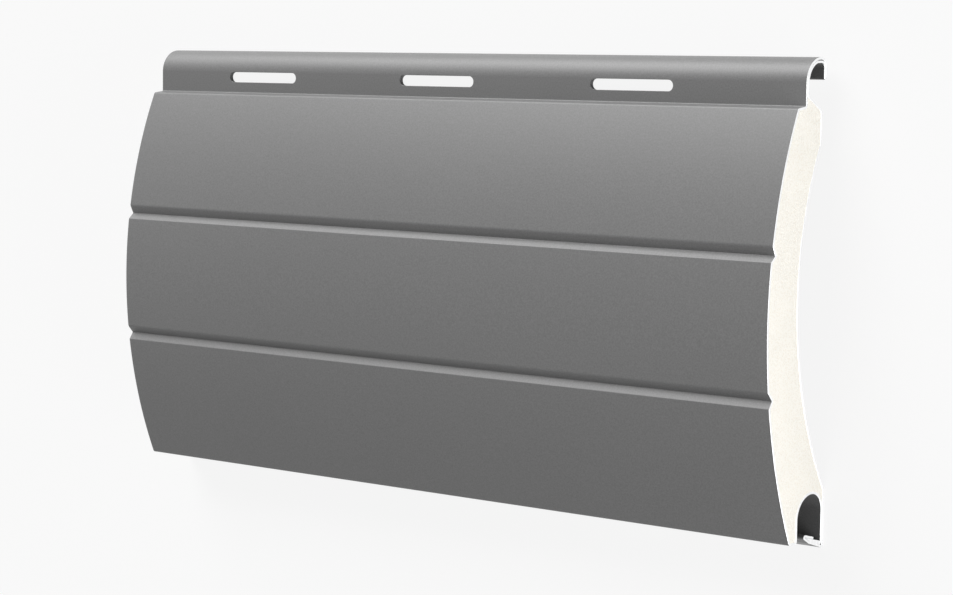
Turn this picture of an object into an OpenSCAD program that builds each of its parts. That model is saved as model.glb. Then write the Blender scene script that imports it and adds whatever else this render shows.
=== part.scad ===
// Foam-filled roller shutter slat, lying on its hollow back with the painted face up.
// The section is drawn with x running up the slat, from the bottom edge of the face to the hook,
// and y running out of the face, from the resting plane. It is then carried along the slat.

/* [Slat] */
// Length of the cut piece
slat_length = 166; // [60:1:600]
// Height of the painted face, which is the pitch of the slats in a curtain
cover_height = 77; // [70:0.5:84]
// Depth from the resting plane to the crown of the face
slat_depth = 18.5; // [17:0.25:21]
// Thickness of the aluminium strip
sheet_t = 0.45; // [0.3:0.05:0.6]
// Outside radius of the strip's bends
bend_r = 0.8; // [0.7:0.05:1.1]

/* [Painted face] */
// Thickness of the filled body between the crown of the face and the hollow of the back
body_t = 9.3; // [8:0.1:11]
// Width of the bottom edge, from the pocket's front wall to the face
nose_w = 2.5; // [2.2:0.1:3.5]
// Width of the ledge between the top of the face and the neck
ledge_w = 2.35; // [1.5:0.05:3]
// Number of panels that the grooves divide the face into
panel_count = 3; // [1:1:5]
// How far the grooves lie above equal shares of the face
groove_rise = 0.3; // [-1:0.1:1]
// Width of a groove across its mouth
groove_w = 2.6; // [1.6:0.1:4]
// Depth of a groove
groove_d = 1.1; // [0.4:0.1:1.4]

/* [Pocket and lip] */
// Clear width of the pocket, from back wall to front wall
pocket_w = 7.3; // [6.4:0.1:8]
// Height of the pocket's arch above the bottom edge
pocket_h = 8.3; // [7.5:0.1:10]
// Radius of the front of the pocket's arch, which leans towards the back
arch_front_r = 4.6; // [3.8:0.1:4.8]
// Mouth that the lip leaves for the neck of the next slat
mouth_w = 2.1; // [1.5:0.1:2.5]
// How far the back wall reaches below the bottom edge
wall_drop = 1.75; // [1.5:0.05:2.2]
// Height of the middle of the lip's tip above the bottom edge
tip_h = 0.65; // [0.4:0.05:1]
// Slope of the lip down to the back wall
lip_slope = 13; // [8:1:16]
// Length of the hem at the lip's tip, where the outer layer is folded over the inner one
hem_l = 3; // [2.5:0.1:3.6]
// Length behind the tip over which the lip grows from two layers to three
joggle_l = 1.45; // [1:0.05:2]
// Flat of the back between the top of the pocket and the hollow
heel_w = 0.6; // [0.4:0.1:2]

/* [Neck and hook] */
// Height of the neck and hook above the ledge of the face
hook_h = 9; // [8:0.1:11]
// Clearance in front of the neck and above the hook inside the pocket of the next slat
hook_clear = 0.1; // [0.1:0.05:0.4]
// Width of the hook, from the front of the neck to the back of the tail
hook_w = 6.3; // [6:0.1:6.6]
// Straight tail of the hook below its arch
hook_tail = 1.9; // [0.5:0.1:2.5]
// Height above the ledge at which the back meets the neck
shoulder_h = 2.2; // [1.5:0.1:2.6]
// Height of the ridge of the back above the ledge
ridge_h = 0.3; // [0:0.1:0.6]
// Width of the ridge's flat
ridge_w = 0.9; // [0.4:0.1:1.5]
// Width of the gap between the two layers at the hook's crown
crown_gap = 0.26; // [0.1:0.02:0.3]

/* [Light slots] */
// Length of a slot
slot_l = 19.3; // [10:0.1:30]
// Width of a slot
slot_w = 2.1; // [1.2:0.1:2.3]
// Distance between the centres of two slots
slot_pitch = 48.3; // [35:0.1:80]
// Distance from the near end to the centre of the first slot
slot_first = 39; // [20:0.5:60]
// Height of the slots' centre line above the ledge
slot_height = 3.55; // [3.4:0.05:4.2]

/* [Hidden] */
// Two layers of strip lie together in the neck, the hook, the back wall and the lip.
layers_t = 2 * sheet_t;
inner_bend_r = bend_r - sheet_t;
front_wall_y = layers_t + pocket_w;
arch_back_r = pocket_w - arch_front_r;
crown_y = front_wall_y - arch_front_r;
// The lip runs back from its tip to the wall. Its seam holds the inner layer between two outer ones.
lip_tip = [tip_h, front_wall_y - mouth_w - sheet_t];
lip_back = [-sin(lip_slope), -cos(lip_slope)];
lip_up = [cos(lip_slope), -sin(lip_slope)];
seam_r = 1.5 * sheet_t;
lip_knee = lip_tip + joggle_l * lip_back + (sheet_t - seam_r) * lip_up;
lip_foot = lip_tip + (lip_tip[1] - sheet_t) / cos(lip_slope) * lip_back;
lip_root = [sheet_t - wall_drop, sheet_t];
// Hung in the next slat, the hook lies under the arch's crown and the neck along the front wall.
hook_front_r = arch_front_r - hook_clear;
hook_back_r = hook_w - hook_front_r;
neck_front_y = crown_y + hook_front_r;
neck_back_y = neck_front_y - layers_t;
shoulder_x = cover_height + shoulder_h;
ridge_x = cover_height + ridge_h;
// The face is the arc through the nose and the ledge whose crown is at the slat's full depth.
nose_fall = slat_depth - front_wall_y - nose_w;
ledge_fall = slat_depth - neck_front_y - ledge_w;
face_chord = norm([cover_height, nose_fall - ledge_fall]);
face_r = face_chord * (cover_height ^ 2 + (nose_fall + ledge_fall) ^ 2)
    / (2 * face_chord * (nose_fall + ledge_fall) + 4 * cover_height * sqrt(nose_fall * ledge_fall));
crown_x = sqrt(2 * face_r * nose_fall - nose_fall ^ 2);
face_centre = [crown_x, slat_depth - face_r];
// The hollow is the arc from the heel to the ridge that leaves the body its thickness.
heel_x = pocket_h + heel_w;
hollow_d = slat_depth - body_t;
hollow_half = (ridge_x - ridge_w - heel_x) / 2;
hollow_r = (hollow_half ^ 2 + hollow_d ^ 2) / (2 * hollow_d);
hollow_centre = [heel_x + hollow_half, hollow_d - hollow_r];
section_low = -wall_drop;
section_high = cover_height + hook_h;
section_middle = (section_low + section_high) / 2;
slot_room = slat_length - slot_first - slot_l / 2;
slot_count = 1 + floor(max(0, slot_room - slot_w) / slot_pitch);
// Sides of the wide bows and of the small bends, and how far cutting shapes run past what they cut
bow_sides = 300;
bend_sides = 48;
past = 5;

// Rounds every outer corner of a section.
module rounded(r) {
    offset(r = r, $fn = bend_sides) offset(delta = -r) children();
}

// Rounds every inner corner of a section.
module filleted(r) {
    offset(r = -r, $fn = bend_sides) offset(delta = r) children();
}

// Bowed envelope of the filled body: face, ledge, shoulder, ridge and hollow back.
module body_envelope() {
    difference() {
        union() {
            intersection() {
                translate(face_centre) circle(r = face_r, $fn = bow_sides);
                translate([0, neck_back_y]) square([cover_height, slat_depth]);
            }
            polygon([
                [0, 0],
                [ridge_x, 0],
                [shoulder_x, neck_back_y],
                [shoulder_x, neck_front_y],
                [0, neck_front_y]
            ]);
        }
        translate(hollow_centre) circle(r = hollow_r, $fn = bow_sides);
    }
}

// Half of an arch with its crown at the origin: a quarter circle and a leg that ends below the crown.
module half_arch(r, reach) {
    intersection() {
        translate([-r, 0]) circle(r = r, $fn = bend_sides);
        translate([-r, 0]) square(r);
    }
    translate([-reach, 0]) square([reach - r, r]);
}

// Leaning arch, whose front and back quarters have their own radii.
module arch(front_r, back_r, reach) {
    half_arch(front_r, reach);
    mirror([0, 1]) half_arch(back_r, reach);
}

// Arched pocket in the bottom edge, open downwards.
module pocket() {
    translate([pocket_h, crown_y]) arch(arch_front_r, arch_back_r, pocket_h + past);
}

// V-shaped grooves rolled into the face, square to its bow.
module grooves() {
    for (i = [1 : 1 : panel_count - 1]) {
        turn = asin((i * cover_height / panel_count + groove_rise - crown_x) / face_r);
        translate(face_centre) rotate(-turn) translate([0, face_r])
            polygon([[-groove_w, groove_d], [0, -groove_d], [groove_w, groove_d]]);
    }
}

module pocketed_body() {
    difference() {
        body_envelope();
        pocket();
    }
}

// Hull round a circle at each of the given points, with that point's radius.
module rolled(points, radii) {
    hull() for (i = [0 : len(points) - 1]) translate(points[i]) circle(r = radii[i], $fn = bend_sides);
}

// Double back wall of the pocket and the lip that holds the next slat's hook, with the seam in it.
module wall_and_lip() {
    rolled([lip_root, [pocket_h - arch_back_r, sheet_t]], [sheet_t, sheet_t]);
    rolled([lip_tip, lip_knee], [sheet_t, seam_r]);
    rolled([lip_knee, lip_foot, lip_root], [seam_r, sheet_t, sheet_t]);
    // The heel is where the pocket's inner layer parts from the back.
    intersection() {
        pocketed_body();
        square([pocket_h, crown_y]);
    }
}

// Step in the lip where the hem ends short of the back wall and the inner layer comes to light.
module hem_step() {
    intersection() {
        pocket();
        translate(lip_tip) rotate(atan2(lip_back[1], lip_back[0]))
            translate([hem_l - sheet_t, 0]) square([2 * past, past]);
    }
}

// Flat neck and the leaning hook that curls from it towards the back.
module neck_and_hook() {
    translate([section_high, crown_y]) difference() {
        union() {
            half_arch(hook_front_r, hook_h + bend_r);
            mirror([0, 1]) half_arch(hook_back_r, hook_back_r + hook_tail);
        }
        translate([-layers_t, 0]) arch(hook_front_r - layers_t, hook_back_r - layers_t, hook_h + past);
    }
}

// Gap between the two layers of the hook, where the inner one is flattened at the crown.
module layer_gap() {
    outer_depth = sheet_t - crown_gap / 2;
    translate([section_high - outer_depth, crown_y]) intersection() {
        arch(hook_front_r - outer_depth, hook_back_r - outer_depth, hook_front_r);
        translate([-crown_gap, -past]) square([crown_gap, 2 * past]);
    }
}

module slat_outline() {
    difference() {
        filleted(inner_bend_r) {
            rounded(bend_r) pocketed_body();
            wall_and_lip();
            neck_and_hook();
        }
        grooves();
        hem_step();
        layer_gap();
    }
}

// The foam fills everything one strip's thickness inside the rolled body.
module core_outline() {
    offset(r = inner_bend_r, $fn = bend_sides) offset(delta = -bend_r) difference() {
        pocketed_body();
        grooves();
    }
}

// Carries a section along the slat, centred on the origin, with the resting plane at z = 0.
module along_slat() {
    rotate([90, 0, 90]) translate([-section_middle, 0, 0])
        linear_extrude(height = slat_length, center = true) children();
}

// Round-ended outline of a light slot.
module slot_outline() {
    straight_l = slot_l - slot_w;
    square([straight_l, slot_w], center = true);
    for (side = [-1, 1]) translate([side * straight_l / 2, 0]) circle(d = slot_w, $fn = bend_sides);
}

// Row of slots through both layers of the neck.
module light_slots() {
    row_x = slat_length / 2 - slot_first;
    row_y = cover_height + slot_height - section_middle;
    for (i = [0 : slot_count - 1])
        translate([row_x - i * slot_pitch, row_y, neck_back_y - sheet_t])
            linear_extrude(height = layers_t + 2 * sheet_t) slot_outline();
}

module slat_skin() {
    color("#787878") difference() {
        along_slat() difference() {
            slat_outline();
            core_outline();
        }
        light_slots();
    }
}

module foam_core() {
    color("#fffaf0") along_slat() core_outline();
}

slat_skin();
foam_core();
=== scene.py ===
import bpy
import numpy as np
from mathutils import Matrix, Vector


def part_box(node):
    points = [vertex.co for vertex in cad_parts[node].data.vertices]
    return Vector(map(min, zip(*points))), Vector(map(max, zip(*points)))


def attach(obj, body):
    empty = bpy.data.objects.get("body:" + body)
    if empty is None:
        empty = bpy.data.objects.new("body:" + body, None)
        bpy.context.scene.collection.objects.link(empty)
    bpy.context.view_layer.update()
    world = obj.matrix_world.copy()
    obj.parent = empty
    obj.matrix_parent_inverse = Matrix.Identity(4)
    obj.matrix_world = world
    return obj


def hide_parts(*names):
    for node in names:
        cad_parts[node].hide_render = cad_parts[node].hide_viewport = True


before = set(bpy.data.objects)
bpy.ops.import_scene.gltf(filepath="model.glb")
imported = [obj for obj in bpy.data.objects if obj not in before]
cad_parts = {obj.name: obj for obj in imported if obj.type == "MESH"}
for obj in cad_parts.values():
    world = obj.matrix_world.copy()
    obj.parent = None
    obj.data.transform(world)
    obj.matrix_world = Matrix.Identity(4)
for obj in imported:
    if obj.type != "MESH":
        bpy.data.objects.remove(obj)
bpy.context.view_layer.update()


# The skin is one strip of coil-coated aluminium, a little under half a millimetre thick. Rollers fold it
# along its length into pocket, bowed face, neck, hook, hollow back and hemmed lip, so its section is a single
# line. It is drawn in millimetres, with u up the slat from the foot of the face and v out of the face.
MM = 0.001
strip_t = 0.44
half_t = strip_t / 2
facet_turn = np.radians(7.5)
facet_l = 1.0


def left_of(heading):
    """Unit vector to the left of a heading, which is the heading's direction after a quarter turn."""
    return np.stack([-np.sin(heading), np.cos(heading)], axis=-1)


def bend(centre, radius, heading_in, heading_out, dip=0.0, dip_heading=0.0, dip_half_angle=1.0):
    """Middle line and left normals of the strip, where it bends about a centre from one heading to another.

    Each point lies one radius from the centre, square to the heading there. The radius is that of the left,
    lacquered side, which is the inside of a left turn and the outside of a right turn. A dip flattens the arc
    round one heading: it comes off the radius there and fades, as a squared cosine, over an angle each way.
    """
    turn = heading_out - heading_in
    steps = int(np.ceil(max(abs(turn) / facet_turn, abs(turn) * radius / facet_l)))
    heading = np.linspace(heading_in, heading_out, steps + 1)
    share = np.clip((heading - dip_heading) / dip_half_angle, -1, 1)
    middle_r = np.sign(turn) * radius + half_t - dip * np.cos(share * np.pi / 2) ** 2
    slope = dip * np.pi / 2 / dip_half_angle * np.sin(share * np.pi)
    points = np.asarray(centre) - middle_r[:, None] * left_of(heading)
    return points, left_of(heading - np.arctan(slope / middle_r))


def corner(point, radius, heading_in, heading_out):
    """Bend that rounds the corner where the left sides of two straight walls would meet.

    Its centre lies on the corner's bisector, one radius from both walls.
    """
    n_in, n_out = left_of(heading_in), left_of(heading_out)
    reach = np.sign(heading_out - heading_in) * radius / (1 + n_in @ n_out)
    return bend(np.asarray(point) + reach * (n_in + n_out), radius, heading_in, heading_out)


def straight(left_points, heading):
    """Middle line and left normals of a straight wall: points on its left side, moved in by half a strip."""
    normals = np.tile(left_of(heading), (len(left_points), 1))
    return np.asarray(left_points) - half_t * normals, normals


# Headings: up the face is 0, out of the face is a quarter turn, and each turn carries on from the last.
QUARTER, HALF, FULL = np.pi / 2, np.pi, 2 * np.pi

# The strip's inner edge is caught in the lip's seam. From there the strip runs back to the wall, up it, round
# the arch that takes the hook of the slat below, and down to the nose.
lip_tip = np.array([0.65, 5.65])
lip_slope = np.radians(13)
lip_back = np.array([-np.sin(lip_slope), -np.cos(lip_slope)])
lip_up = np.array([np.cos(lip_slope), -np.sin(lip_slope)])
lip_back_heading = -QUARTER - lip_slope
joggle_l = 1.45
seam_clear = 0.011
caught_edge_gap = 0.35
wall_foot_r = 0.05
pocket_back_v = 0.9
pocket_front_v = 8.2
pocket_h = 8.3
arch_front_r = 4.4
arch_crown_v = pocket_front_v - arch_front_r
arch_back_r = arch_crown_v - pocket_back_v
nose_drop = 0.25
nose_bend_r = 0.55
caught_edge = lip_tip + caught_edge_gap * lip_back - seam_clear * lip_up
flange_start = lip_tip + (joggle_l + seam_clear) * lip_back - seam_clear * lip_up
flange_l = (flange_start[1] - pocket_back_v) / np.cos(lip_slope)
flange = straight([caught_edge, flange_start], lip_back_heading)
wall_foot = corner(flange_start + flange_l * lip_back, wall_foot_r, lip_back_heading, 0)
pocket_bends = [
    bend((pocket_h - arch_back_r, arch_crown_v), arch_back_r, 0, QUARTER),
    bend((pocket_h - arch_front_r, arch_crown_v), arch_front_r, QUARTER, HALF),
    corner((-nose_drop, pocket_front_v), nose_bend_r, HALF, QUARTER),
]

# The face is one bow: the circle through nose and ledge that just reaches the slat's depth. Two rolled
# grooves part it into three panels.
cover_height = 77.0
slat_depth = 18.5
nose_v = 10.7
ledge_v = 10.45
nose_fall, ledge_fall = slat_depth - nose_v, slat_depth - ledge_v
face_chord = np.hypot(cover_height, nose_fall - ledge_fall)
face_r = face_chord * (cover_height ** 2 + (nose_fall + ledge_fall) ** 2) / (
    2 * face_chord * (nose_fall + ledge_fall) + 4 * cover_height * np.sqrt(nose_fall * ledge_fall))
face_top_u = np.sqrt(2 * face_r * nose_fall - nose_fall ** 2)
face_centre = np.array([face_top_u, slat_depth - face_r])
panel_count = 3
groove_rise = 0.3
groove_d = 1.05
groove_lower_w = 1.3
groove_upper_w = 1.55
groove_lower_lip_r = 0.3
groove_upper_lip_r = 1.0
groove_valley_r = 0.12


def face_end(u, radius):
    """Centre, at height u, of the bend that touches the bow from inside, and the bow's heading at the touch.

    It lies one bend radius inside the bow's circle.
    """
    rise = np.sqrt((face_r - radius) ** 2 - (u - face_top_u) ** 2)
    return np.array([u, face_centre[1] + rise]), -np.arcsin((u - face_top_u) / (face_r - radius))


def groove_lip(radius, flank):
    """Centre of a groove's lip, back along the bow and out from the face's centre.

    It lies one lip radius from its flank, which falls to the valley, and touches the bow from inside: where a
    line up the flank leaves the circle of all such centres, which a quadratic gives.
    """
    start = np.array([0, face_r - groove_d]) - radius * np.array([np.sin(flank), np.cos(flank)])
    uphill = np.array([-np.cos(flank), np.sin(flank)])
    climb = -start @ uphill + np.sqrt((start @ uphill) ** 2 - start @ start + (face_r - radius) ** 2)
    return start + climb * uphill


def groove(u):
    """Rolled groove across the bow: a tight lower lip, a valley and a soft upper lip.

    Also gives the bow's headings where the groove starts and ends.
    """
    heading = -np.arcsin((u - face_top_u) / face_r)
    lower_flank, upper_flank = np.arctan2(groove_d, groove_lower_w), np.arctan2(groove_d, groove_upper_w)
    down, up = heading - lower_flank, heading + upper_flank
    along, out = np.array([np.cos(heading), np.sin(heading)]), left_of(heading)
    lower, upper = groove_lip(groove_lower_lip_r, lower_flank), groove_lip(groove_upper_lip_r, upper_flank)
    before, after = heading - np.arctan(lower[0] / lower[1]), heading + np.arctan(upper[0] / upper[1])
    valley = face_centre + (face_r - groove_d) * out
    bends = [bend(face_centre + lower[0] * along + lower[1] * out, groove_lower_lip_r, before, down),
             corner(valley, groove_valley_r, down, up),
             bend(face_centre - upper[0] * along + upper[1] * out, groove_upper_lip_r, up, after)]
    return bends, before, after


nose_centre, heading = face_end(nose_bend_r - nose_drop, nose_bend_r)
face_bends = [bend(nose_centre, nose_bend_r, QUARTER, heading)]
for i in range(1, panel_count):
    bends, before, after = groove(i * cover_height / panel_count + groove_rise)
    face_bends += [bend(face_centre, face_r, heading, before), *bends]
    heading = after

# Above the top panel a narrow ledge climbs back to the neck.
ledge_bend_r = 0.5
ledge_rise = 0.05
ledge_slope = np.radians(8)
ledge_root_r = 0.2
neck_front_v = 8.1
ledge_centre, ledge_heading = face_end(cover_height + ledge_rise - ledge_bend_r, ledge_bend_r)
ledge_back_heading = ledge_slope - QUARTER
ledge_edge = ledge_centre + ledge_bend_r * left_of(ledge_back_heading)
ledge_root = (ledge_edge[0] + (ledge_edge[1] - neck_front_v) * np.tan(ledge_slope), neck_front_v)
face_bends += [
    bend(face_centre, face_r, heading, ledge_heading),
    bend(ledge_centre, ledge_bend_r, ledge_heading, ledge_back_heading),
    corner(ledge_root, ledge_root_r, ledge_back_heading, 0),
]

# The neck is two layers of the strip, back to back, with a row of round-ended slots punched through both. A
# band of lines across each layer carries the slots' rims.
neck_back_v = 7.2
slot_u = 80.55
slot_w = 2.1
slot_lines = 13
slot_low_margin = 0.1
slot_high_margin = 0.06
slot_band = np.linspace(
    slot_u - slot_w / 2 - slot_low_margin, slot_u + slot_w / 2 + slot_high_margin, slot_lines)
neck_front = straight(np.stack([slot_band, np.full(slot_lines, neck_front_v)], 1), 0)
neck_back = straight(np.stack([slot_band[::-1], np.full(slot_lines, neck_back_v)], 1), -HALF)

# The hook carries both layers over its crown and down to the tail, where the strip folds back on itself.
# Under the crown the inner layer is a little flattened, further round at the back than at the front.
hook_top_u = 86.0
hook_w = 6.3
hook_front_r = 4.5
hook_tail = 2.2
fold_r = 0.45
crown_dip = 0.14
back_dip_angle = np.radians(60)
front_dip_angle = np.radians(24)
hook_back_r = hook_w - hook_front_r
hook_crown_v = neck_front_v - hook_front_r
fold_inside = neck_front_v - neck_back_v
front_centre = (hook_top_u - hook_front_r, hook_crown_v)
back_centre = (hook_top_u - hook_back_r, hook_crown_v)
tail_fold = (hook_top_u - hook_back_r - hook_tail + fold_r, hook_crown_v - hook_back_r + fold_r)
front_lead, back_lead = np.arcsin(
    (slot_band[-1] - front_centre[0]) / np.array([hook_front_r, hook_front_r - fold_inside]))
hook_bends = [
    bend(front_centre, hook_front_r, -front_lead, -QUARTER),
    bend(back_centre, hook_back_r, -QUARTER, -HALF),
    bend(tail_fold, fold_r, -HALF, -FULL),
    bend(back_centre, hook_back_r - fold_inside, -FULL, -HALF - QUARTER,
         dip=crown_dip, dip_heading=-HALF - QUARTER, dip_half_angle=back_dip_angle),
    bend(front_centre, hook_front_r - fold_inside, -HALF - QUARTER, -HALF - back_lead,
         dip=crown_dip, dip_heading=-HALF - QUARTER, dip_half_angle=front_dip_angle),
]

# Behind the neck a shoulder slopes to a flat land, which leaves room for the lip of the slat above. The
# hollow of the back follows, and the heel, where the back comes down to the resting plane.
shoulder_u = 79.2
shoulder_bend_r = 0.2
land_u = 76.7
land_v = 3.0
heel_u = 8.9
hollow_top_u = 76.4
hollow_d = 9.2
back_bend_r = 0.8
slope_heading = np.arctan2(neck_back_v - land_v, shoulder_u - land_u) - HALF
hollow_half = (hollow_top_u - heel_u) / 2
hollow_r = (hollow_half ** 2 + hollow_d ** 2) / (2 * hollow_d)
hollow_centre = np.array([heel_u + hollow_half, hollow_d - hollow_r])


def hollow_edge(side, level):
    """Centre of the bend that touches both the hollow and the level back beside it, and how far it turns.

    It lies one bend radius above that level, and one bend radius outside the hollow's circle.
    """
    rise = level + back_bend_r - hollow_centre[1]
    reach = np.sqrt((hollow_r + back_bend_r) ** 2 - rise ** 2)
    return hollow_centre + (side * reach, rise), np.arctan2(reach, rise)


land_centre, land_turn = hollow_edge(1, land_v)
heel_centre, heel_turn = hollow_edge(-1, 0)
back_bends = [
    corner((shoulder_u, neck_back_v), shoulder_bend_r, -HALF, slope_heading),
    corner((land_u, land_v), back_bend_r, slope_heading, -HALF),
    bend(land_centre, back_bend_r, -HALF, -HALF - land_turn),
    bend(hollow_centre, hollow_r, -HALF - land_turn, -HALF + heel_turn),
    bend(heel_centre, back_bend_r, -HALF + heel_turn, -HALF),
]

# The outer layer turns under the wall, swells round the caught edge and is folded back over it as a hem.
wall_drop = 1.75
hem_l = 3.0
seam_r = 0.675
lip_root = np.array([fold_r - wall_drop, fold_r])
lip_knee = lip_tip + joggle_l * lip_back + (fold_r - seam_r) * lip_up


def tangent_heading(start, start_r, end, end_r):
    """Heading of the line that touches two circles on its right: the line of centres, turned by the taper."""
    run = end - start
    return np.arctan2(run[1], run[0]) - np.arcsin((start_r - end_r) / np.hypot(*run))


root_heading = tangent_heading(lip_root, fold_r, lip_knee, seam_r) - FULL
knee_heading = tangent_heading(lip_knee, seam_r, lip_tip, fold_r) - FULL
hem_heading = lip_back_heading - FULL
lip_bends = [
    bend(lip_root, fold_r, -HALF, root_heading),
    bend(lip_knee, seam_r, root_heading, knee_heading),
    bend(lip_tip, fold_r, knee_heading, hem_heading),
    straight([lip_tip + fold_r * lip_up + (hem_l - fold_r) * lip_back], hem_heading),
]

# The whole strip in order, with a mark on the two bands that carry slots. Points that coincide count once.
FRONT_SLOTS, BACK_SLOTS = 1, 2
same_point = 1e-4
chain = [(stretch, 0) for stretch in [flange, wall_foot, *pocket_bends, *face_bends]]
chain += [(neck_front, FRONT_SLOTS), *((stretch, 0) for stretch in hook_bends), (neck_back, BACK_SLOTS)]
chain += [(stretch, 0) for stretch in back_bends + lip_bends]
middle = np.concatenate([stretch[0] for stretch, mark in chain])
normal = np.concatenate([stretch[1] for stretch, mark in chain])
marks = np.concatenate([np.full(len(stretch[0]), mark) for stretch, mark in chain])
fresh = np.r_[True, np.linalg.norm(np.diff(middle, axis=0), axis=1) > same_point]
middle, normal, marks = middle[fresh], normal[fresh], marks[fresh]

# The seam is rolled tight: the caught edge is pressed thin, and its foot fills the space between the layers.
caught_edge_t = 0.08
wall_foot_t = 0.72
thickness = np.full(len(middle), strip_t)
thickness[0] = caught_edge_t
foot_first, foot_rows = len(flange[0]), len(wall_foot[0])
thickness[foot_first:foot_first + foot_rows] = np.linspace(wall_foot_t, strip_t, foot_rows)

# The strip is carried along the slat from cut to cut, with lines across it where slots begin and end. The
# saw leaves a fine chamfer, so the strip is thinner on the first and last line, at most by a quarter a side.
slot_l = 19.3
slot_pitch = 48.3
slot_first = 39.0
slot_count = 3
slot_margin = 0.3
cut_chamfer = 0.05
skin_low, skin_high = (np.array(end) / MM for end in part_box("slat_skin"))
section_middle = -wall_drop - skin_low[1]
slot_x = skin_high[0] - slot_first - slot_pitch * np.arange(slot_count)
slot_reach = slot_l / 2 + slot_margin
slot_straight = (slot_l - slot_w) / 2
slot_offsets = np.array([-slot_reach, -slot_straight, slot_straight, slot_reach])
lines_x = np.sort(np.concatenate([
    [skin_low[0], skin_low[0] + cut_chamfer, skin_high[0] - cut_chamfer, skin_high[0]],
    (slot_x[:, None] + slot_offsets).ravel(),
]))
inset = np.zeros((len(middle), len(lines_x)))
inset[:, [0, -1]] = np.minimum(cut_chamfer, thickness / 4)[:, None]


def in_frame(x, section):
    """Points of the row frame, in metres, from places along the slat and points of the section."""
    return np.stack([x, section[..., 0] - section_middle, section[..., 1]], axis=-1) * MM


rows, columns = len(middle), len(lines_x)
grid_x = np.broadcast_to(lines_x, (rows, columns))
left_depth, right_depth = inset - half_t, thickness[:, None] - half_t - inset
left = in_frame(grid_x, middle[:, None] - left_depth[..., None] * normal[:, None])
right = in_frame(grid_x, middle[:, None] - right_depth[..., None] * normal[:, None])
vertices = [left.reshape(-1, 3), right.reshape(-1, 3)]
left_id = np.arange(rows * columns).reshape(rows, columns)
right_id = left_id + rows * columns
vertex_count = 2 * rows * columns


def cells(ids):
    """Four corner numbers of every cell of a grid, round the side that a left normal points from."""
    return np.stack([ids[:-1, :-1], ids[:-1, 1:], ids[1:, 1:], ids[1:, :-1]], axis=-1)


# Each slot takes its cells out of the band. Rings of points lead from the hole in the band to the slot's
# edge, which the punch has rolled over, and through the strip to its other side.
slot_roll = 0.04
whole = np.ones((rows - 1, columns - 1), bool)
slot_faces = []
for mark in (FRONT_SLOTS, BACK_SLOTS):
    band = np.flatnonzero(marks == mark)
    low, high = band[0], band[-1]
    level = middle[low, 1]
    out = normal[low, 1]
    for x in slot_x:
        first = int(np.argmin(abs(lines_x - (x - slot_reach))))
        last = first + len(slot_offsets) - 1
        whole[low:high, first:last] = False
        rim = np.concatenate([
            left_id[low, first + 1:last], left_id[low:high + 1, last],
            left_id[high, first + 1:last][::-1], left_id[low:high + 1, first][::-1]])
        # Round each end the rim's points share the half circle evenly, from one straight edge to the other.
        turn = np.linspace(-QUARTER, QUARTER, slot_lines + 2)
        end_x = np.concatenate([[-slot_straight], slot_straight + 0 * turn, -slot_straight + 0 * turn[:-1]])
        angle = np.concatenate([[-QUARTER], turn, turn[:-1] + HALF])
        facing = np.stack([np.cos(angle), np.sin(angle) * out], axis=-1)
        rings = [rim]
        for grow, depth in ((slot_roll, 0), (0, slot_roll), (0, strip_t)):
            ring_x = x + end_x + (slot_w / 2 + grow) * facing[:, 0]
            ring_u = slot_u + (slot_w / 2 + grow) * facing[:, 1]
            ring_v = np.full(len(rim), level + out * (half_t - depth))
            vertices.append(in_frame(ring_x, np.stack([ring_u, ring_v], axis=-1)))
            rings.append(vertex_count + np.arange(len(rim)))
            vertex_count += len(rim)
        rings.append(rim + rows * columns)
        slot_faces += [np.stack([a, np.roll(a, -1), np.roll(b, -1), b], axis=-1)
                       for a, b in zip(rings, rings[1:])]

# The cut ends, their chamfers and the strip's two long edges are bare metal. All the rest is lacquered.
LACQUER, BARE = 0, 1
left_faces = cells(left_id)
right_faces = cells(right_id)[..., ::-1]
near_cap = np.stack([left_id[:-1, -1], right_id[:-1, -1], right_id[1:, -1], left_id[1:, -1]], axis=-1)
far_cap = np.stack([left_id[:-1, 0], left_id[1:, 0], right_id[1:, 0], right_id[:-1, 0]], axis=-1)
first_edge = np.stack([left_id[0, :-1], right_id[0, :-1], right_id[0, 1:], left_id[0, 1:]], axis=-1)
last_edge = np.stack([left_id[-1, :-1], left_id[-1, 1:], right_id[-1, 1:], right_id[-1, :-1]], axis=-1)
chamfers = np.zeros_like(whole)
chamfers[:, [0, -1]] = True
walls = np.concatenate([left_faces[whole & ~chamfers], right_faces[whole & ~chamfers]])
ends = np.concatenate([left_faces[chamfers], right_faces[chamfers], near_cap, far_cap, first_edge, last_edge])
faces = np.concatenate([walls, ends, *slot_faces])
finishes = np.full(len(faces), LACQUER)
finishes[len(walls):len(walls) + len(ends)] = BARE

# The walls are shaded with the section's own normals. A zero leaves a face its plain ones.
section_normals = np.concatenate([np.zeros((rows, 1)), normal], axis=1)
loop_normals = np.zeros((len(faces), 4, 3))
side = np.where(walls < rows * columns, 1, -1)
loop_normals[:len(walls)] = side[..., None] * section_normals[walls % (rows * columns) // columns]


def quad_mesh(name, points, quads):
    """Mesh of four-cornered faces, filled from whole arrays."""
    mesh = bpy.data.meshes.new(name)
    mesh.vertices.add(len(points))
    mesh.vertices.foreach_set("co", points.astype(np.float32).ravel())
    mesh.loops.add(quads.size)
    mesh.loops.foreach_set("vertex_index", quads.astype(np.int32).ravel())
    mesh.polygons.add(len(quads))
    mesh.polygons.foreach_set("loop_start", np.arange(0, quads.size, 4, dtype=np.int32))
    mesh.polygons.foreach_set("use_smooth", np.ones(len(quads), bool))
    mesh.update(calc_edges=True)
    return mesh


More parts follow.
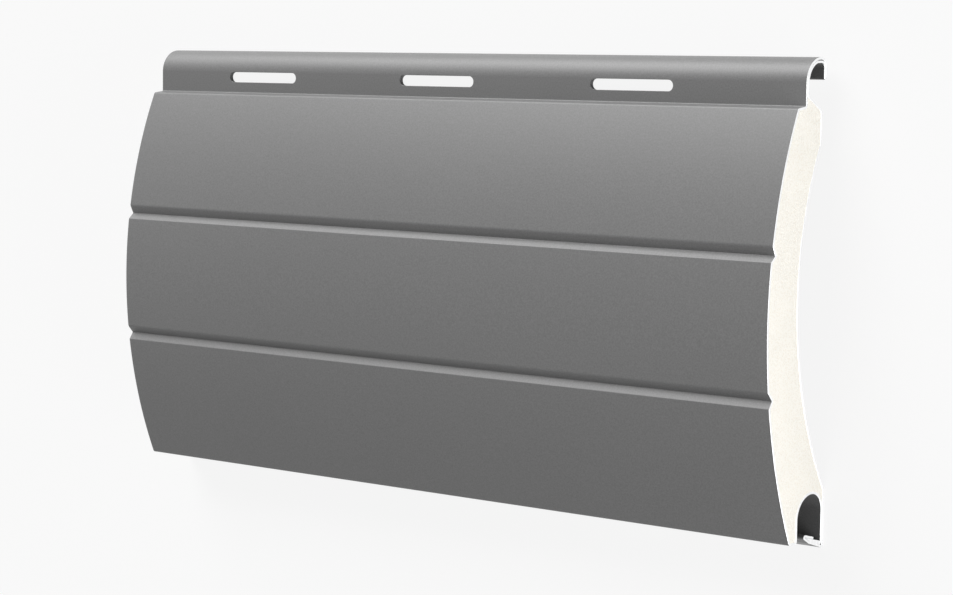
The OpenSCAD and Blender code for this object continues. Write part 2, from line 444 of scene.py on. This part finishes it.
sharp_turn = np.radians(30)
skin_mesh = quad_mesh("rolled_skin", np.concatenate(vertices), faces)
skin_mesh.polygons.foreach_set("material_index", finishes.astype(np.int32))
skin_mesh.set_sharp_from_angle(angle=sharp_turn)
skin_mesh.normals_split_custom_set(loop_normals.reshape(-1, 3))
skin = bpy.data.objects.new("rolled_skin", skin_mesh)
bpy.context.scene.collection.objects.link(skin)


def colour(hex_code):
    """Linear colour with full alpha from an sRGB hex code: a straight foot, and above it a power of 2.4."""
    srgb = np.array([int(hex_code[i:i + 2], 16) for i in (1, 3, 5)]) / 255
    linear = np.where(srgb <= 0.04045, srgb / 12.92, ((srgb + 0.055) / 1.055) ** 2.4)
    return (*linear, 1.0)


def add(tree, kind, sockets=None, **settings):
    """Adds a node with its settings. A socket given another socket is linked to it, and any other is set."""
    node = tree.nodes.new(kind)
    for name, value in settings.items():
        setattr(node, name, value)
    for name, value in (sockets or {}).items():
        if isinstance(value, bpy.types.NodeSocket):
            tree.links.new(value, node.inputs[name])
        else:
            node.inputs[name].default_value = value
    return node


def material_tree(name):
    """New material with an empty node tree."""
    material = bpy.data.materials.new(name)
    material.use_nodes = True
    material.node_tree.nodes.clear()
    return material, material.node_tree


# Satin polyester lacquer, baked on the coil before rolling: an even grey with a fine pigment grain and the
# faint orange peel of a roller-coated film, which breaks up a broad soft sheen. The grain is drawn coarser
# than the real one, so that it shows.
pigment_grain_mm = 0.3
orange_peel_mm = 1.2
film_cloud_mm = 35.0
peel_height_mm = 0.02
grain_height_mm = 0.01
lacquer, tree = material_tree("satin_coil_lacquer_on_aluminium")
place = add(tree, "ShaderNodeTexCoord").outputs["Object"]
grain = add(tree, "ShaderNodeTexNoise", {
    "Vector": place, "Scale": 1 / (pigment_grain_mm * MM), "Detail": 2.0, "Roughness": 0.6}).outputs["Fac"]
cloud = add(tree, "ShaderNodeTexNoise", {
    "Vector": place, "Scale": 1 / (film_cloud_mm * MM), "Detail": 2.0}).outputs["Fac"]
peel = add(tree, "ShaderNodeTexNoise", {
    "Vector": place, "Scale": 1 / (orange_peel_mm * MM), "Detail": 1.0}).outputs["Fac"]
pigment = add(tree, "ShaderNodeValToRGB", {"Fac": grain})
for stop, position, grey in zip(pigment.color_ramp.elements, (0.3, 0.72), ("#6c6c6c", "#7b7b7b")):
    stop.position, stop.color = position, colour(grey)
film = add(tree, "ShaderNodeMapRange", {"Value": cloud, "To Min": 0.97, "To Max": 1.03}).outputs["Result"]
tint = add(tree, "ShaderNodeVectorMath", {0: pigment.outputs["Color"], 1: film}, operation="MULTIPLY")
sheen = add(tree, "ShaderNodeMapRange", {"Value": grain, "To Min": 0.41, "To Max": 0.5}).outputs["Result"]
peel_relief = add(tree, "ShaderNodeBump", {
    "Height": peel, "Strength": 0.12, "Distance": peel_height_mm * MM}).outputs["Normal"]
grain_relief = add(tree, "ShaderNodeBump", {
    "Height": grain, "Strength": 0.15, "Distance": grain_height_mm * MM,
    "Normal": peel_relief}).outputs["Normal"]
shader = add(tree, "ShaderNodeBsdfPrincipled", {
    "Base Color": tint.outputs["Vector"], "Roughness": sheen, "IOR": 1.5, "Normal": grain_relief})
add(tree, "ShaderNodeOutputMaterial", {"Surface": shader.outputs["BSDF"]})

# Saw-cut aluminium: the blade leaves bright bare metal with fine parallel scratches across the strip.
saw_pitch_mm = 0.12
saw_length_mm = 4.0
saw_depth_mm = 0.01
bare, tree = material_tree("saw_cut_aluminium")
place = add(tree, "ShaderNodeTexCoord").outputs["Object"]
stretch = add(tree, "ShaderNodeMapping", {
    "Vector": place, "Scale": [1 / (size * MM) for size in (saw_pitch_mm, saw_length_mm, saw_pitch_mm)]})
scratches = add(tree, "ShaderNodeTexNoise", {
    "Vector": stretch.outputs["Vector"], "Scale": 1.0, "Detail": 3.0}).outputs["Fac"]
brightness = add(tree, "ShaderNodeValToRGB", {"Fac": scratches})
for stop, position, grey in zip(brightness.color_ramp.elements, (0.3, 0.7), ("#eceded", "#fafafb")):
    stop.position, stop.color = position, colour(grey)
dullness = add(tree, "ShaderNodeMapRange", {
    "Value": scratches, "To Min": 0.38, "To Max": 0.55}).outputs["Result"]
cut_relief = add(tree, "ShaderNodeBump", {
    "Height": scratches, "Strength": 0.2, "Distance": saw_depth_mm * MM}).outputs["Normal"]
shader = add(tree, "ShaderNodeBsdfPrincipled", {
    "Base Color": brightness.outputs["Color"], "Metallic": 1.0, "Roughness": dullness, "Normal": cut_relief})
add(tree, "ShaderNodeOutputMaterial", {"Surface": shader.outputs["BSDF"]})

skin_mesh.materials.append(lacquer)
skin_mesh.materials.append(bare)
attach(skin, "root")
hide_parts("slat_skin")


# The core is rigid polyurethane foam, blown into the closed skin as the strip runs through the rollers. It
# sticks to the strip all round, so it is drawn as far as the strip's middle line. It shows only on the two
# cut ends.
toe = [(pocket_h - arch_back_r, half_t)]
core_line = np.concatenate([stretch[0] for stretch in pocket_bends + face_bends + back_bends] + [toe])
core_line = core_line[np.r_[True, np.linalg.norm(np.diff(core_line, axis=0), axis=1) > same_point]]
core_n = len(core_line)
core_x = np.broadcast_to([skin_low[0] + cut_chamfer, skin_high[0] - cut_chamfer], (core_n, 2))
core_id = np.arange(2 * core_n).reshape(core_n, 2)
core_mesh = bpy.data.meshes.new("foam_filling")
core_mesh.from_pydata(
    in_frame(core_x, np.repeat(core_line[:, None], 2, axis=1)).reshape(-1, 3), [],
    [core_id[:, 0].tolist(), core_id[::-1, 1].tolist(),
     *cells(np.concatenate([core_id, core_id[:1]])).reshape(-1, 4).tolist()])
core = bpy.data.objects.new("foam_filling", core_mesh)
bpy.context.scene.collection.objects.link(core)

# Saw-cut polyurethane foam: the blade opens cells about a third of a millimetre across, so the eye sees matt
# cream walls round small pits, with painted shade: the cream darkens towards each cell's middle.
foam_cell_mm = 0.35
foam_cloud_mm = 6.0
foam_pit_mm = 0.08
foam, tree = material_tree("saw_cut_polyurethane_foam")
place = add(tree, "ShaderNodeTexCoord").outputs["Object"]
cell = add(tree, "ShaderNodeTexVoronoi", {
    "Vector": place, "Scale": 1 / (foam_cell_mm * MM)}).outputs["Distance"]
cloud = add(tree, "ShaderNodeTexNoise", {
    "Vector": place, "Scale": 1 / (foam_cloud_mm * MM), "Detail": 3.0}).outputs["Fac"]
# Painted shade in the pits: the colour darkens from the cell walls towards each pit's middle.
cell_walls_and_painted_pit_shade = add(tree, "ShaderNodeValToRGB", {"Fac": cell})
for stop, position, cream in zip(cell_walls_and_painted_pit_shade.color_ramp.elements, (0.1, 0.5), ("#f6f0e4", "#fdfaf2")):
    stop.position, stop.color = position, colour(cream)
shade = add(tree, "ShaderNodeMapRange", {"Value": cloud, "To Min": 0.96, "To Max": 1.02}).outputs["Result"]
tint = add(tree, "ShaderNodeVectorMath", {0: cell_walls_and_painted_pit_shade.outputs["Color"], 1: shade}, operation="MULTIPLY")
pits = add(tree, "ShaderNodeBump", {
    "Height": cell, "Strength": 0.5, "Distance": foam_pit_mm * MM}).outputs["Normal"]
shader = add(tree, "ShaderNodeBsdfPrincipled", {
    "Base Color": tint.outputs["Vector"], "Roughness": 0.95, "IOR": 1.45, "Specular IOR Level": 0.2,
    "Normal": pits})
add(tree, "ShaderNodeOutputMaterial", {"Surface": shader.outputs["BSDF"]})

core_mesh.materials.append(foam)
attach(core, "root")
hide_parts("foam_core")


# The slat lies on its back on a pale studio sheet. Towards the camera the sheet is nearly the white of the
# page, and a share of it stays plain card, so that the slat keeps a soft shadow.
page_white = "#fdfdfd"
page_part = 0.9
sheet_half = 3.0
sheet_corners = sheet_half * np.array([(-1, -1, 0), (1, -1, 0), (1, 1, 0), (-1, 1, 0)])
sheet_mesh = quad_mesh("studio_sheet", sheet_corners, np.array([[0, 1, 2, 3]]))
sheet = bpy.data.objects.new("studio_sheet", sheet_mesh)
bpy.context.scene.collection.objects.link(sheet)


def page_share(tree):
    """Socket that is 1 for what the camera sees, straight or in gloss or glass, and 0 for all other light."""
    path = add(tree, "ShaderNodeLightPath")
    seen = path.outputs["Is Camera Ray"]
    for ray in ("Is Glossy Ray", "Is Transmission Ray"):
        either = add(tree, "ShaderNodeMath", {0: seen, 1: path.outputs[ray]}, operation="MAXIMUM")
        seen = either.outputs["Value"]
    return seen


card, tree = material_tree("pale_studio_card")
plain = add(tree, "ShaderNodeBsdfDiffuse", {"Color": colour("#ececec")})
white = add(tree, "ShaderNodeEmission", {"Color": colour(page_white), "Strength": 1.0})
share = add(tree, "ShaderNodeMath", {0: page_share(tree), 1: page_part}, operation="MULTIPLY")
surface = add(tree, "ShaderNodeMixShader", {
    "Fac": share.outputs["Value"], 1: plain.outputs["BSDF"], 2: white.outputs["Emission"]})
add(tree, "ShaderNodeOutputMaterial", {"Surface": surface.outputs["Shader"]})
sheet_mesh.materials.append(card)


# Soft studio light: a large softbox above the hooked edge, a smaller fill that faces the near cut end, and an
# even surround.
def softbox(name, place, target, width, height, power):
    """Rectangular area lamp at a place, facing a target."""
    lamp = bpy.data.lights.new(name, "AREA")
    lamp.shape = "RECTANGLE"
    lamp.size = width
    lamp.size_y = height
    lamp.energy = power
    box = bpy.data.objects.new(name, lamp)
    box.location = place
    box.rotation_euler = (Vector(target) - Vector(place)).to_track_quat("-Z", "Y").to_euler()
    bpy.context.scene.collection.objects.link(box)


softbox("key_softbox", place=(-0.91, 1.78, 0.91), target=(0, 0, 0), width=1.35, height=1.85, power=66.0)
softbox("end_fill", place=(0.7, -0.26, 0.17), target=(0.08, 0, 0), width=0.45, height=0.3, power=3.52)

world = bpy.data.worlds.new("studio_surround")
world.use_nodes = True
tree = world.node_tree
tree.nodes.clear()
surround = add(tree, "ShaderNodeBackground", {"Color": colour(page_white), "Strength": 0.15})
white = add(tree, "ShaderNodeBackground", {"Color": colour(page_white), "Strength": 1.0})
surface = add(tree, "ShaderNodeMixShader", {
    "Fac": page_share(tree), 1: surround.outputs["Background"], 2: white.outputs["Background"]})
add(tree, "ShaderNodeOutputWorld", {"Surface": surface.outputs["Shader"]})
bpy.context.scene.world = world

# The camera looks down on the face, turned so that the near cut end shows.
viewpoint_mm = Vector((363.21, 43.845, 416.10))
backward = Vector((0.65543, 0.08674, 0.75025)).normalized()
rightward = Vector((-0.06499, 0.99618, -0.0584)).cross(backward).normalized()
upward = backward.cross(rightward)
turned = Matrix((rightward, upward, backward)).transposed().to_4x4()
camera = bpy.data.cameras.new("camera")
camera.sensor_fit = "HORIZONTAL"
camera.sensor_width = 36.0
camera.lens = 105.81
camera.clip_end = 20
viewpoint = bpy.data.objects.new("camera", camera)
viewpoint.matrix_world = Matrix.Translation(viewpoint_mm * MM) @ turned
bpy.context.scene.collection.objects.link(viewpoint)
bpy.context.scene.camera = viewpoint
bpy.context.scene.view_settings.view_transform = "Standard"
